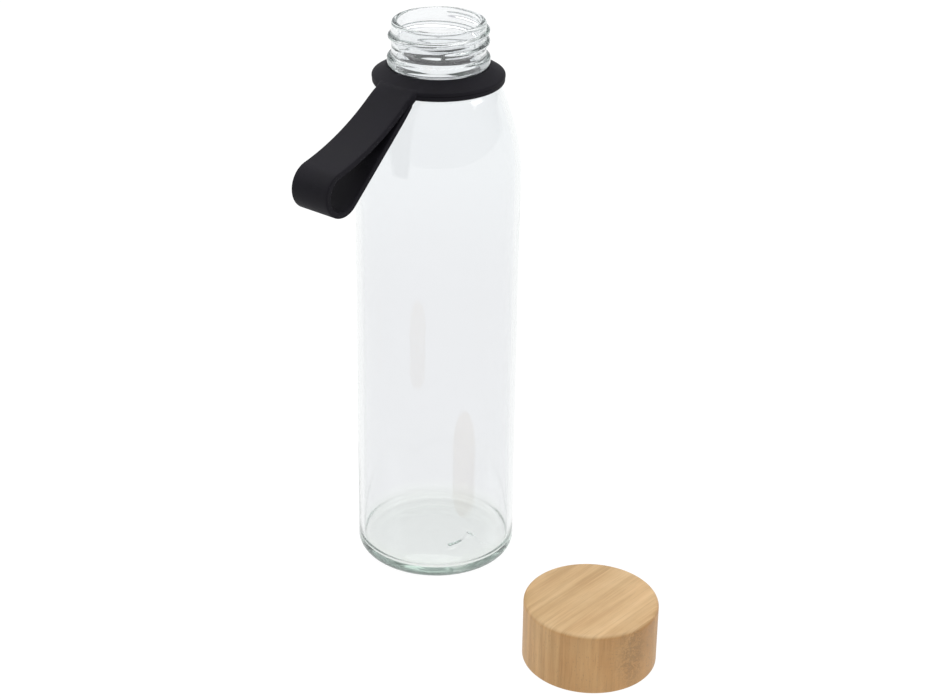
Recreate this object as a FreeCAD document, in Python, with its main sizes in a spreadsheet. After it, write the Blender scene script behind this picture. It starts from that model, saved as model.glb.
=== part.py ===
"""A glass water bottle with a silicone carry strap and a bamboo screw lid, in millimetres.

Frame: +Z up, origin at the middle of the bottle's foot on the surface it stands on. The strap
points along -Y, and the lid stands beside the bottle on the +X side.

Every driving size is a named cell of the sheet. The cells after them are worked out from those by
formula, so the strap follows the neck, and the lid follows the bottle's thread.
"""
import FreeCAD, Part
import math
import os

import Sketcher
from FreeCAD import Rotation, Vector

SIZES = [
    # Glass body
    ("bottle_height", 218.5, "foot to lip"),
    ("body_radius", 31.0, "outside of the straight body"),
    ("wall", 2.0, "glass thickness of body and shoulder"),
    ("glass_floor", 4.2, "glass thickness of the base"),
    ("push_up", 1.8, "rise of the hollow under the base"),
    ("heel_bend", 6.0, "radius between foot and body"),
    ("inner_heel_bend", 5.5, "radius between floor and wall inside"),
    ("foot_width", 2.5, "width of the ring that the bottle stands on"),
    ("shoulder_depth", 68.5, "lip down to where the shoulder starts"),
    ("crown_depth", 28.0, "lip down to where the shoulder turns in to the neck"),
    ("crown_width", 7.1, "neck out to where the shoulder turns in"),
    # Neck and its screw thread
    ("neck_radius", 17.3, "outside of the neck, which is the thread's root"),
    ("neck_wall", 2.3, "glass thickness of the neck"),
    ("neck_foot_rise", 4.6, "foot of the neck up to the bead"),
    ("neck_foot_flare", 0.7, "how far the foot of the neck flares"),
    ("finish_height", 16.4, "under the bead up to the lip"),
    ("bead_height", 4.9, "height of the bead under the thread"),
    ("bead_projection", 1.6, "how far the bead stands out from the neck"),
    ("bead_round", 1.2, "chamfer of the bead's edges"),
    ("lip_round", 1.2, "radius of the lip's edges"),
    ("thread_height", 1.45, "how far the thread stands out from the neck"),
    ("thread_pitch", 4.0, "rise of the thread in one turn"),
    ("thread_turns", 1.5, "turns of thread on the glass"),
    ("thread_root_width", 2.3, "width of the thread where it leaves the neck"),
    ("thread_crest_width", 1.1, "width of the thread at its crest"),
    ("thread_depth", 8.7, "lip down to the middle of the thread's lower end"),
    ("thread_heading", -50.0, "direction of the thread's lower end, degrees from +X"),
    # Silicone strap: two stacked rings and the loop folded between them
    ("collar_gap", 0.4, "neck to the strap's rings"),
    ("bead_gap", 0.3, "bead to the upper ring"),
    ("collar_width", 5.6, "bead out to the upper ring's rim"),
    ("collar_fall", 1.9, "drop of the rings from bead to rim"),
    ("ring_thickness", 2.2, "thickness of each ring at its rim"),
    ("ring_bore_thickness", 1.5, "thickness of each ring at the neck"),
    ("ring_edge", 0.6, "chamfer of the rings' rims"),
    ("ring_step", 0.3, "how far the lower ring's rim stands back"),
    ("ring_gap", 0.1, "upper ring to lower ring"),
    ("strap_heading", -90.0, "direction of the strap, degrees from +X"),
    ("strap_width", 17.0, "width of the band"),
    ("strap_thickness", 2.3, "thickness of the band"),
    ("flex_reach", 1.7, "ring's rim out to the line where the loop flexes"),
    ("flex_drop", 2.4, "drop of the band's top from rim to flex line"),
    ("flex_gap", 0.3, "free gap at the flex line"),
    ("root_setback", 1.2, "how far the loop's root runs in under the flex line"),
    ("loop_reach", 43.6, "flex line out to the end of the loop"),
    ("loop_drop", 26.1, "flex line down to the middle of the loop's end"),
    ("loop_end_bend", 8.8, "outer radius of the loop's end"),
    ("loop_top_slope", 13.0, "slope of the upper leg where the end starts, degrees"),
    ("slit_start", 4.5, "flex line out to where the two legs part"),
    # Lid: bamboo shell, plastic liner with the inner thread, and silicone seal
    ("lid_height", 24.1, "height of the bamboo shell"),
    ("lid_roof", 4.5, "bamboo above the liner"),
    ("lid_wall", 4.0, "bamboo around the liner"),
    ("lid_round", 1.2, "radius of the shell's upper edge"),
    ("lid_foot_chamfer", 0.5, "chamfer of the shell's lower edges"),
    ("glue_gap", 0.1, "liner to bamboo"),
    ("liner_wall", 1.4, "wall of the liner"),
    ("liner_roof", 1.2, "top of the liner"),
    ("liner_setback", 1.5, "rim of the shell up to the rim of the liner"),
    ("thread_clearance", 0.45, "glass thread's crest to the liner's wall"),
    ("liner_thread_height", 1.2, "how far the liner's thread stands in from its wall"),
    ("liner_thread_turns", 1.25, "turns of thread in the liner"),
    ("liner_thread_start", 3.1, "top of the closed-in bead up to the liner's thread"),
    ("seal_thickness", 1.5, "thickness of the seal"),
    ("seal_gap", 0.3, "seal to the liner's wall"),
    ("seal_width", 4.4, "width of the seal's ring"),
    ("lid_across", 95.0, "lid's centre along X from the bottle's axis"),
    ("lid_forward", -25.0, "lid's centre along Y from the bottle's axis"),
]

FORMULAS = [
    # Shoulder: an arc that leaves the straight body upright and meets the crown point
    ("shoulder_level", "bottle_height - shoulder_depth"),
    ("crown_level", "bottle_height - crown_depth"),
    ("crown_radius", "neck_radius + crown_width"),
    ("shoulder_rise", "crown_level - shoulder_level"),
    ("shoulder_inset", "body_radius - crown_radius"),
    ("shoulder_bend", "(shoulder_inset ^ 2 + shoulder_rise ^ 2) / (2 * shoulder_inset)"),
    # Outward normal of the glass at the crown point, across and up
    ("crown_across", "(shoulder_bend - shoulder_inset) / shoulder_bend"),
    ("crown_up", "shoulder_rise / shoulder_bend"),
    # Crown: an arc that carries on from the shoulder's direction to the foot of the neck
    ("bead_level", "bottle_height - finish_height"),
    ("neck_foot_level", "bead_level - neck_foot_rise"),
    ("neck_foot_radius", "neck_radius + neck_foot_flare"),
    ("crown_run", "crown_radius - neck_foot_radius"),
    ("crown_climb", "neck_foot_level - crown_level"),
    (
        "crown_bend",
        "(crown_run ^ 2 + crown_climb ^ 2)"
        " / (2 * (crown_run * crown_across - crown_climb * crown_up))",
    ),
    ("crown_mid_radius", "crown_radius - crown_bend * crown_across"),
    ("crown_mid_level", "crown_level - crown_bend * crown_up"),
    ("neck_start_level", "neck_foot_level + neck_foot_flare"),
    # Foot, heel and lip
    ("foot_outer", "body_radius - heel_bend"),
    ("foot_inner", "foot_outer - foot_width"),
    ("bead_radius", "neck_radius + bead_projection"),
    ("bead_face", "bead_radius - bead_round / 2"),
    ("bead_low_edge", "bead_level + bead_round"),
    ("bead_high_edge", "bead_level + bead_height - bead_round"),
    ("bead_top", "bead_level + bead_height"),
    ("lip_outer", "neck_radius - lip_round"),
    ("lip_edge_level", "bottle_height - lip_round"),
    ("lip_inner", "mouth_radius + lip_inner_round"),
    ("lip_inner_round", "(neck_wall - lip_round) / 2"),
    ("lip_inner_level", "bottle_height - lip_inner_round"),
    # Inside of the glass, one wall in from the outside
    ("inner_radius", "body_radius - wall"),
    ("floor_middle", "push_up + glass_floor"),
    ("floor_edge_radius", "inner_radius - inner_heel_bend"),
    ("inner_heel_level", "glass_floor + inner_heel_bend"),
    ("inner_shoulder_bend", "shoulder_bend - wall"),
    ("inner_crown_radius", "crown_radius - wall * crown_across"),
    ("inner_crown_level", "crown_level - wall * crown_up"),
    ("inner_crown_bend", "crown_bend - wall"),
    ("inner_share", "inner_crown_bend / crown_bend"),
    (
        "inner_neck_foot_radius",
        "crown_mid_radius + (neck_foot_radius - crown_mid_radius) * inner_share",
    ),
    (
        "inner_neck_foot_level",
        "crown_mid_level + (neck_foot_level - crown_mid_level) * inner_share",
    ),
    ("mouth_radius", "neck_radius - neck_wall"),
    ("mouth_foot_level", "neck_foot_level + neck_foot_flare * 2"),
    # Thread of the glass, as heights of its middle line and half widths
    ("thread_level", "bottle_height - thread_depth"),
    ("thread_rise", "thread_pitch * thread_turns"),
    ("thread_bed", "neck_radius - neck_wall / 4"),
    ("thread_crest", "neck_radius + thread_height"),
    ("thread_root_low", "thread_level - thread_root_width / 2"),
    ("thread_root_high", "thread_level + thread_root_width / 2"),
    ("thread_crest_low", "thread_level - thread_crest_width / 2"),
    ("thread_crest_high", "thread_level + thread_crest_width / 2"),
    # Rings of the strap
    ("collar_bore", "neck_radius + collar_gap"),
    ("collar_top", "bead_level - bead_gap"),
    ("collar_shelf", "bead_radius + bead_gap"),
    ("rim_radius", "bead_radius + collar_width"),
    ("rim_top", "collar_top - collar_fall"),
    ("rim_crest", "rim_radius - ring_edge"),
    ("rim_top_edge", "rim_top - ring_edge"),
    ("rim_low", "rim_top - ring_thickness"),
    ("rim_low_edge", "rim_low + ring_edge"),
    ("bore_low", "collar_top - ring_bore_thickness"),
    ("under_rim", "rim_radius - ring_step"),
    ("under_crest", "under_rim - ring_edge"),
    ("under_top", "rim_low - ring_gap"),
    ("under_top_edge", "under_top - ring_edge"),
    ("under_low", "under_top - ring_thickness"),
    ("under_low_edge", "under_low + ring_edge"),
    ("under_bore_top", "bore_low - ring_gap"),
    ("under_bore_low", "under_bore_top - ring_bore_thickness"),
    ("under_rest_radius", "collar_bore + neck_foot_flare * 3"),
    ("under_rest_level", "under_bore_low - ring_bore_thickness"),
    # Flex line and the two short tabs that end there
    ("tab_start", "collar_bore + collar_width / 2"),
    ("tab_start_top", "collar_top - collar_fall / 2"),
    ("tab_start_low", "bore_low - collar_fall / 2"),
    ("tab_notch_level", "rim_low + ring_gap"),
    ("tab_crest", "rim_crest - ring_edge / 2"),
    ("tab_crest_level", "rim_top - ring_edge / 2"),
    ("flex_radius", "rim_radius + flex_reach"),
    ("flex_level", "rim_top - flex_drop"),
    ("tab_end", "flex_radius - flex_gap"),
    ("tab_middle", "(tab_end + under_crest) / 2"),
    ("tab_middle_level", "(flex_level + under_low) / 2"),
    # Loop: end circle, upper leg as an arc tangent to it, lower leg as a line tangent to it
    ("end_radius", "flex_radius + loop_reach - loop_end_bend"),
    ("end_level", "flex_level - loop_drop"),
    ("tip_radius", "end_radius + loop_end_bend"),
    ("top_radius", "end_radius + loop_end_bend * sin(loop_top_slope)"),
    ("top_level", "end_level + loop_end_bend * cos(loop_top_slope)"),
    ("leg_run", "top_radius - flex_radius"),
    ("leg_climb", "flex_level - top_level"),
    (
        "leg_bend",
        "(leg_run ^ 2 + leg_climb ^ 2)"
        " / (2 * (leg_climb * cos(loop_top_slope) - leg_run * sin(loop_top_slope)))",
    ),
    ("leg_mid_radius", "top_radius + leg_bend * sin(loop_top_slope)"),
    ("leg_mid_level", "top_level + leg_bend * cos(loop_top_slope)"),
    ("root_radius", "flex_radius - root_setback"),
    ("root_level", "flex_level - 2 * strap_thickness - ring_gap"),
    ("under_run", "end_radius - root_radius"),
    ("under_climb", "root_level - end_level"),
    ("under_far", "under_run ^ 2 + under_climb ^ 2"),
    ("under_share", "loop_end_bend ^ 2 / under_far"),
    ("under_side", "loop_end_bend * sqrt(under_far - loop_end_bend ^ 2) / under_far"),
    ("low_across", "under_run * under_share + under_climb * under_side"),
    ("low_down", "under_run * under_side - under_climb * under_share"),
    ("low_radius", "end_radius - low_across"),
    ("low_level", "end_level - low_down"),
    # The same loop one band thickness in, which bounds the finger gap
    ("gap_bend", "loop_end_bend - strap_thickness"),
    ("gap_leg_bend", "leg_bend + strap_thickness"),
    ("gap_share", "gap_bend / loop_end_bend"),
    ("gap_tip_radius", "end_radius + gap_bend"),
    ("gap_top_radius", "end_radius + gap_bend * sin(loop_top_slope)"),
    ("gap_top_level", "end_level + gap_bend * cos(loop_top_slope)"),
    ("gap_low_radius", "end_radius - low_across * gap_share"),
    ("gap_low_level", "end_level - low_down * gap_share"),
    ("gap_start", "flex_radius + slit_start"),
    (
        "gap_start_top",
        "leg_mid_level - sqrt(gap_leg_bend ^ 2 - (gap_start - leg_mid_radius) ^ 2)",
    ),
    (
        "gap_start_low",
        "gap_low_level + (gap_low_radius - gap_start) * low_across / low_down",
    ),
    # Lid
    ("liner_inner", "thread_crest + thread_clearance"),
    ("liner_outer", "liner_inner + liner_wall"),
    ("shell_bore", "liner_outer + glue_gap"),
    ("shell_radius", "shell_bore + lid_wall"),
    ("shell_ceiling", "lid_height - lid_roof"),
    ("shell_crest", "shell_radius - lid_round"),
    ("shell_edge_level", "lid_height - lid_round"),
    ("shell_foot_outer", "shell_radius - lid_foot_chamfer"),
    ("shell_foot_inner", "shell_bore + lid_foot_chamfer"),
    ("liner_top", "shell_ceiling - glue_gap"),
    ("liner_ceiling", "liner_top - liner_roof"),
    ("liner_bed", "liner_inner + liner_wall / 2"),
    ("liner_crest", "liner_inner - liner_thread_height"),
    ("seal_level", "liner_ceiling - seal_thickness"),
    ("seal_outer", "liner_inner - seal_gap"),
    ("seal_inner", "seal_outer - seal_width"),
    ("closed_bead_top", "seal_level - bottle_height + bead_top"),
    ("liner_thread_level", "closed_bead_top + liner_thread_start"),
    ("liner_thread_rise", "thread_pitch * liner_thread_turns"),
    ("liner_root_low", "liner_thread_level - thread_root_width / 2"),
    ("liner_root_high", "liner_thread_level + thread_root_width / 2"),
    ("liner_crest_low", "liner_thread_level - thread_crest_width / 2"),
    ("liner_crest_high", "liner_thread_level + thread_crest_width / 2"),
]

OUT, IN = 1, -1  # an arc that bulges to the right of the way round, or to the left

doc = FreeCAD.newDocument("WaterBottle")
sheet = doc.addObject("Spreadsheet::Sheet", "Sizes")


def fill_sheet():
    """Put every size, and then every formula, in a row of its own."""
    rows = [(alias, str(size), note) for alias, size, note in SIZES]
    rows += [(alias, "=" + formula, "") for alias, formula in FORMULAS]
    for number, (alias, text, _) in enumerate(rows, start=1):
        sheet.set(f"A{number}", alias)
        sheet.setAlias(f"B{number}", alias)
    for number, (_, text, note) in enumerate(rows, start=1):
        sheet.set(f"B{number}", text)
        sheet.set(f"C{number}", note)
    doc.recompute()


def size(alias):
    """The number that a cell of the sheet holds; 0 stands for the axis itself."""
    return float(sheet.get(alias)) if alias else 0.0


def new_body(label):
    """An empty body whose label names its file."""
    body = doc.addObject("PartDesign::Body", label)
    body.Label = label
    return body


def new_sketch(body, name):
    """A sketch on the body's XZ plane: across is the distance from the axis, up is the height."""
    sketch = body.newObject("Sketcher::SketchObject", name)
    plane = next(f for f in body.Origin.OriginFeatures if f.Role == "XZ_Plane")
    sketch.AttachmentSupport = (plane, [""])
    sketch.MapMode = "FlatFace"
    return sketch


def arc_between(start, end, radius, side):
    """The shorter arc from start to end, bulging to the given side of the way from one to the other."""
    along = end - start
    half = along.Length / 2
    right = Vector(along.y, -along.x, 0).normalize()
    centre = (start + end) * 0.5 - right * (side * math.sqrt(radius**2 - half**2))
    circle = Part.Circle(centre, Vector(0, 0, 1), radius)
    first, last = (start, end) if side == OUT else (end, start)
    return Part.ArcOfCircle(circle, circle.parameter(first), circle.parameter(last))


def draw_outline(sketch, corners):
    """Draw a closed outline and bind it to the sheet.

    A corner is (across, up), by the aliases of its two coordinates, or (across, up, radius, side)
    where the stretch to the next corner is an arc.
    """
    places = [Vector(size(corner[0]), size(corner[1]), 0) for corner in corners]
    ends = []
    for index, corner in enumerate(corners):
        start, end = places[index], places[(index + 1) % len(places)]
        if len(corner) == 2:
            line = sketch.addGeometry(Part.LineSegment(start, end))
            ends.append((line, 1, 2))
            continue
        arc = arc_between(start, end, size(corner[2]), corner[3])
        curve = sketch.addGeometry(arc)
        ends.append((curve, 1, 2) if corner[3] == OUT else (curve, 2, 1))
    for index, corner in enumerate(corners):
        edge, first, _ = ends[index]
        before, _, last = ends[index - 1]
        sketch.addConstraint(Sketcher.Constraint("Coincident", before, last, edge, first))
        for kind, alias, axis in (("DistanceX", corner[0], -2), ("DistanceY", corner[1], -1)):
            if alias == 0:
                sketch.addConstraint(Sketcher.Constraint("PointOnObject", edge, first, axis))
                continue
            bound = sketch.addConstraint(
                Sketcher.Constraint(kind, -1, 1, edge, first, size(alias))
            )
            sketch.setExpression(f"Constraints[{bound}]", f"Sizes.{alias}")
        if len(corner) == 4:
            bound = sketch.addConstraint(Sketcher.Constraint("Radius", edge, size(corner[2])))
            sketch.setExpression(f"Constraints[{bound}]", f"Sizes.{corner[2]}")


def turn_outline(body, name, corners):
    """Turn a closed outline all the way round the body's Z axis."""
    sketch = new_sketch(body, name + "_outline")
    draw_outline(sketch, corners)
    turned = body.newObject("PartDesign::Revolution", name)
    turned.Profile = sketch
    turned.ReferenceAxis = (sketch, ["V_Axis"])
    turned.Angle = 360
    sketch.Visibility = False
    return turned


def wind_thread(body, name, corners, pitch, rise):
    """Wind a right-handed ridge up the body's Z axis, from the body's +X side."""
    sketch = new_sketch(body, name + "_outline")
    draw_outline(sketch, corners)
    doc.recompute()
    thread = body.newObject("PartDesign::AdditiveHelix", name)
    thread.Profile = sketch
    thread.ReferenceAxis = (sketch, ["V_Axis"])
    thread.Mode = 0
    thread.setExpression("Pitch", f"Sizes.{pitch}")
    thread.setExpression("Height", f"Sizes.{rise}")
    thread.LeftHanded = False
    return thread


def pad_band(body, name, *outlines):
    """Give outlines the band's width, half to each side of the body's XZ plane."""
    sketch = new_sketch(body, name + "_outline")
    for corners in outlines:
        draw_outline(sketch, corners)
    doc.recompute()
    band = body.newObject("PartDesign::Pad", name)
    band.Profile = sketch
    band.setExpression("Length", "Sizes.strap_width")
    band.SideType = "Symmetric"
    return band


def head_along(body, heading):
    """Turn a whole body about Z to the heading that a cell gives."""
    body.Placement = FreeCAD.Placement(Vector(0, 0, 0), Rotation(Vector(0, 0, 1), size(heading)))
    body.setExpression("Placement.Rotation.Angle", f"Sizes.{heading} * 1 deg")


def stand_lid(piece):
    """Stand a piece of the lid on the surface beside the bottle."""
    piece.Placement.Base = Vector(size("lid_across"), size("lid_forward"), 0)
    piece.setExpression("Placement.Base.x", "Sizes.lid_across")
    piece.setExpression("Placement.Base.y", "Sizes.lid_forward")


def make_glass_bottle():
    """The blown glass: foot, straight body, shoulder, neck with its bead, and the screw thread."""
    body = new_body("glass_bottle")
    turn_outline(
        body,
        "glass_wall",
        [
            (0, "push_up"),
            ("foot_inner", 0),
            ("foot_outer", 0, "heel_bend", OUT),
            ("body_radius", "heel_bend"),
            ("body_radius", "shoulder_level", "shoulder_bend", OUT),
            ("crown_radius", "crown_level", "crown_bend", OUT),
            ("neck_foot_radius", "neck_foot_level"),
            ("neck_radius", "neck_start_level"),
            ("neck_radius", "bead_level"),
            ("bead_face", "bead_level"),
            ("bead_radius", "bead_low_edge"),
            ("bead_radius", "bead_high_edge"),
            ("bead_face", "bead_top"),
            ("neck_radius", "bead_top"),
            ("neck_radius", "lip_edge_level", "lip_round", OUT),
            ("lip_outer", "bottle_height"),
            ("lip_inner", "bottle_height", "lip_inner_round", OUT),
            ("mouth_radius", "lip_inner_level"),
            ("mouth_radius", "mouth_foot_level"),
            ("inner_neck_foot_radius", "inner_neck_foot_level", "inner_crown_bend", IN),
            ("inner_crown_radius", "inner_crown_level", "inner_shoulder_bend", IN),
            ("inner_radius", "shoulder_level"),
            ("inner_radius", "inner_heel_level", "inner_heel_bend", IN),
            ("floor_edge_radius", "glass_floor"),
            (0, "floor_middle"),
        ],
    )
    wind_thread(
        body,
        "neck_thread",
        [
            ("thread_bed", "thread_root_low"),
            ("neck_radius", "thread_root_low"),
            ("thread_crest", "thread_crest_low"),
            ("thread_crest", "thread_crest_high"),
            ("neck_radius", "thread_root_high"),
            ("thread_bed", "thread_root_high"),
        ],
        "thread_pitch",
        "thread_rise",
    )
    head_along(body, "thread_heading")
    return body


def make_strap_ring_upper():
    """The ring at the strap's upper end, under the bead, with the root of the upper leg."""
    body = new_body("strap_ring_upper")
    turn_outline(
        body,
        "upper_ring",
        [
            ("collar_bore", "bore_low"),
            ("rim_crest", "rim_low"),
            ("rim_radius", "rim_low_edge"),
            ("rim_radius", "rim_top_edge"),
            ("rim_crest", "rim_top"),
            ("collar_shelf", "collar_top"),
            ("collar_bore", "collar_top"),
        ],
    )
    pad_band(
        body,
        "upper_tab",
        [
            ("tab_start", "tab_start_low"),
            ("rim_crest", "tab_notch_level"),
            ("tab_middle", "tab_middle_level"),
            ("tab_end", "flex_level"),
            ("tab_crest", "tab_crest_level"),
            ("tab_start", "tab_start_top"),
        ],
    )
    head_along(body, "strap_heading")
    return body


def make_strap_ring_lower():
    """The ring at the strap's lower end, on the shoulder, with the root of the lower leg."""
    body = new_body("strap_ring_lower")
    turn_outline(
        body,
        "lower_ring",
        [
            ("collar_bore", "under_bore_low"),
            ("under_rest_radius", "under_rest_level"),
            ("under_crest", "under_low"),
            ("under_rim", "under_low_edge"),
            ("under_rim", "under_top_edge"),
            ("under_crest", "under_top"),
            ("collar_bore", "under_bore_top"),
        ],
    )
    head_along(body, "strap_heading")
    return body


def make_strap_loop():
    """The band between the rings: upper leg, rounded end, and lower leg, with the finger gap."""
    body = new_body("strap_loop")
    pad_band(
        body,
        "loop_band",
        [
            ("root_radius", "root_level"),
            ("low_radius", "low_level", "loop_end_bend", OUT),
            ("tip_radius", "end_level", "loop_end_bend", OUT),
            ("top_radius", "top_level", "leg_bend", IN),
            ("flex_radius", "flex_level"),
        ],
        [
            ("gap_start", "gap_start_low"),
            ("gap_low_radius", "gap_low_level", "gap_bend", OUT),
            ("gap_tip_radius", "end_level", "gap_bend", OUT),
            ("gap_top_radius", "gap_top_level", "gap_leg_bend", IN),
            ("gap_start", "gap_start_top"),
        ],
    )
    head_along(body, "strap_heading")
    return body


def make_lid_shell():
    """The turned bamboo shell."""
    body = new_body("lid_shell")
    turn_outline(
        body,
        "bamboo_shell",
        [
            ("shell_foot_inner", 0),
            ("shell_foot_outer", 0),
            ("shell_radius", "lid_foot_chamfer"),
            ("shell_radius", "shell_edge_level", "lid_round", OUT),
            ("shell_crest", "lid_height"),
            (0, "lid_height"),
            (0, "shell_ceiling"),
            ("shell_bore", "shell_ceiling"),
            ("shell_bore", "lid_foot_chamfer"),
        ],
    )
    stand_lid(body)
    return body


def make_lid_liner():
    """The moulded liner glued into the shell, with the thread that the bottle's thread meets."""
    body = new_body("lid_liner")
    turn_outline(
        body,
        "liner_cup",
        [
            ("liner_inner", "liner_setback"),
            ("liner_outer", "liner_setback"),
            ("liner_outer", "liner_top"),
            (0, "liner_top"),
            (0, "liner_ceiling"),
            ("liner_inner", "liner_ceiling"),
        ],
    )
    wind_thread(
        body,
        "liner_thread",
        [
            ("liner_crest", "liner_crest_low"),
            ("liner_inner", "liner_root_low"),
            ("liner_bed", "liner_root_low"),
            ("liner_bed", "liner_root_high"),
            ("liner_inner", "liner_root_high"),
            ("liner_crest", "liner_crest_high"),
        ],
        "thread_pitch",
        "liner_thread_rise",
    )
    stand_lid(body)
    return body


def make_lid_seal():
    """The flat silicone ring that the lip presses on."""
    body = new_body("lid_seal")
    turn_outline(
        body,
        "seal_ring",
        [
            ("seal_inner", "seal_level"),
            ("seal_outer", "seal_level"),
            ("seal_outer", "liner_ceiling"),
            ("seal_inner", "liner_ceiling"),
        ],
    )
    stand_lid(body)
    return body


fill_sheet()
pieces = [
    make_glass_bottle(),
    make_strap_ring_upper(),
    make_strap_ring_lower(),
    make_strap_loop(),
    make_lid_shell(),
    make_lid_liner(),
    make_lid_seal(),
]
doc.recompute()

for item in doc.Objects:
    if {"Invalid", "Error"} & set(item.State):
        raise RuntimeError(f"{item.Label} is {item.State}")
for piece in pieces:
    if piece.Shape.isNull() or not piece.Shape.isValid() or len(piece.Shape.Solids) != 1:
        raise RuntimeError(f"{piece.Label} isn't one valid solid")

os.makedirs("parts", exist_ok=True)
for piece in pieces:
    piece.Shape.exportStep(f"parts/{piece.Label}.step")
    print(f"{piece.Label}: {piece.Shape.Volume / 1000:.2f} cm3")
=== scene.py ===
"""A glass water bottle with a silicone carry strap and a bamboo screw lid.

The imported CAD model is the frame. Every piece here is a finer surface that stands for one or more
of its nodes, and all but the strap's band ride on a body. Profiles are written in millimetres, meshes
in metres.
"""

import math

import bpy
import numpy as np
from bpy.props import FloatProperty, FloatVectorProperty, PointerProperty
from mathutils import Matrix, Vector


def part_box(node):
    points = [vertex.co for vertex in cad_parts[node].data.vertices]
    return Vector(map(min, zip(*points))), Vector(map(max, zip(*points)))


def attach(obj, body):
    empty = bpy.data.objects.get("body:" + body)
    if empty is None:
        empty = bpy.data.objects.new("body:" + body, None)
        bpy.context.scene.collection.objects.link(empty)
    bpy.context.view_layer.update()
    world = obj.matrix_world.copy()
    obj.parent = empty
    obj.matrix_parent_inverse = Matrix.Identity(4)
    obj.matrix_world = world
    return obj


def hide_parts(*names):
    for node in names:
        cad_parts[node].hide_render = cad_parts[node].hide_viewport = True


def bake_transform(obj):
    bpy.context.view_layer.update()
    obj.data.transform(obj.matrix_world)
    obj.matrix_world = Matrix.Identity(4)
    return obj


bl_info = {
    "name": "Glass bottle with strap and bamboo lid",
    "version": (1, 0, 0),
    "blender": (4, 5, 0),
    "location": "3D View > Sidebar > Bottle",
    "description": "Builds a glass water bottle, its silicone strap and its bamboo lid",
    "category": "Object",
}

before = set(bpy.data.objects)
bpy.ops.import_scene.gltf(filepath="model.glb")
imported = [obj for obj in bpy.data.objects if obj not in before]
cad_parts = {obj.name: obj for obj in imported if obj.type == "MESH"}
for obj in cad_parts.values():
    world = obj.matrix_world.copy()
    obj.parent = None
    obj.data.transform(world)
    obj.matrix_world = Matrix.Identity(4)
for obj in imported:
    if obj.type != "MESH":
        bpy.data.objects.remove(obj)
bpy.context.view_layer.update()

MM = 0.001
TURN = 2 * math.pi
ARC_STEP = math.radians(9)  # largest turn between two points of a rounded corner
STRAIGHT = 1e-4             # radians under which a corner is left as it is
ON_AXIS = 1e-6              # millimetres from the axis under which a profile's end is a pole
HALF_SIDE = 0.499           # share of a side that a rounded corner may take up
WHOLE_SIDE = 0.999          # the same, where the side's other end isn't rounded


def cad_height(node):
    """Level of the top of a CAD node, in metres."""
    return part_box(node)[1].z


def cad_middle(node):
    """Middle of a CAD node's box, in metres."""
    low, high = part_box(node)
    return (low + high) / 2


def length(name, description, default, low=0.0):
    """A property in metres, shown as a length."""
    return FloatProperty(
        name=name, description=description, default=default, min=low, unit="LENGTH", precision=5
    )


def colour(name, description, default):
    """A colour property, as red, green and blue from 0 to 1."""
    return FloatVectorProperty(
        name=name, description=description, default=default, size=3, min=0, max=1,
        subtype="COLOR",
    )


class BottleGlassSettings(bpy.types.PropertyGroup):
    height: length("Height", "Foot to lip", cad_height("glass_bottle"))
    body_radius: length("Body radius", "Outside of the straight body", 31 * MM)
    wall: length("Wall", "Glass thickness of body and shoulder", 2 * MM)
    floor: length("Floor", "Glass thickness of the base", 3.7 * MM)
    push_up: length("Push-up", "Rise of the hollow under the base", 1.0 * MM)
    heel: length("Heel", "Radius between foot and body", 7.6 * MM)
    shoulder_depth: length("Shoulder depth", "Lip down to where the shoulder starts", 68.5 * MM)
    crown_depth: length("Crown depth", "Lip down to where the shoulder turns in", 28 * MM)
    crown_width: length("Crown width", "Neck out to where the shoulder turns in", 7.1 * MM)
    neck_radius: length("Neck radius", "Outside of the neck under the thread", 17.3 * MM)
    neck_wall: length("Neck wall", "Glass thickness of the neck", 2.3 * MM)
    bead_projection: length("Bead projection", "How far the bead stands out", 1.6 * MM)
    bead_height: length("Bead height", "Height of the bead under the thread", 3.7 * MM)
    finish_height: length("Finish height", "Under the bead up to the lip", 16.4 * MM)
    thread_height: length("Thread height", "How far the thread stands out", 1.25 * MM)
    thread_pitch: length("Thread pitch", "Rise of the thread in one turn", 4 * MM)
    thread_depth: length("Thread depth", "Lip down to the thread's lower end", 8.7 * MM)
    thread_turns: FloatProperty(
        name="Thread turns", description="Turns of thread on the glass", default=1.5, min=0.5, max=2
    )
    thread_heading: FloatProperty(
        name="Thread heading", description="Direction of the thread's lower end",
        default=math.radians(-50), subtype="ANGLE",
    )


class BottleStrapSettings(bpy.types.PropertyGroup):
    bore: length("Bore", "Inner radius of the rings", 17.7 * MM)
    rim: length("Rim", "Outer radius of the upper ring", 24.5 * MM)
    top: length("Top", "Upper face of the rings under the bead", 201.8 * MM)
    band_width: length("Band width", "Width of the band", 17 * MM)
    band_thickness: length("Band thickness", "Thickness of the band", 2.3 * MM)
    band_edge: length("Band edge", "Radius of the band's edges", 0.55 * MM)
    loop_reach: length("Loop reach", "Ring's axis out to the loop's end", 69.8 * MM)
    end_level: length("End level", "Height of the middle of the loop's end", 171.4 * MM)
    end_bend: length("End bend", "Outer radius of the loop's end", 8.8 * MM)
    tint: colour("Silicone", "Colour of the silicone", (0.0063, 0.0058, 0.0084))


class BottleLidSettings(bpy.types.PropertyGroup):
    radius: length("Radius", "Outside of the bamboo shell", 24.7 * MM)
    height: length("Height", "Height of the bamboo shell", cad_height("lid_shell"))
    bore: length("Bore", "Inside of the bamboo shell", 20.7 * MM)
    roof: length("Roof", "Bamboo above the liner", 4.5 * MM)
    edge: length("Edge", "Radius of the upper edge", 1.6 * MM)
    across: length("Across", "Lid's middle along X", cad_middle("lid_shell").x, -1.0)
    forward: length("Forward", "Lid's middle along Y", cad_middle("lid_shell").y, -1.0)
    strip: length("Strip", "Mean width of the glued bamboo strips", 6.2 * MM)
    tint: colour("Bamboo", "Mean colour of the bamboo", (0.570, 0.385, 0.193))


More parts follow.
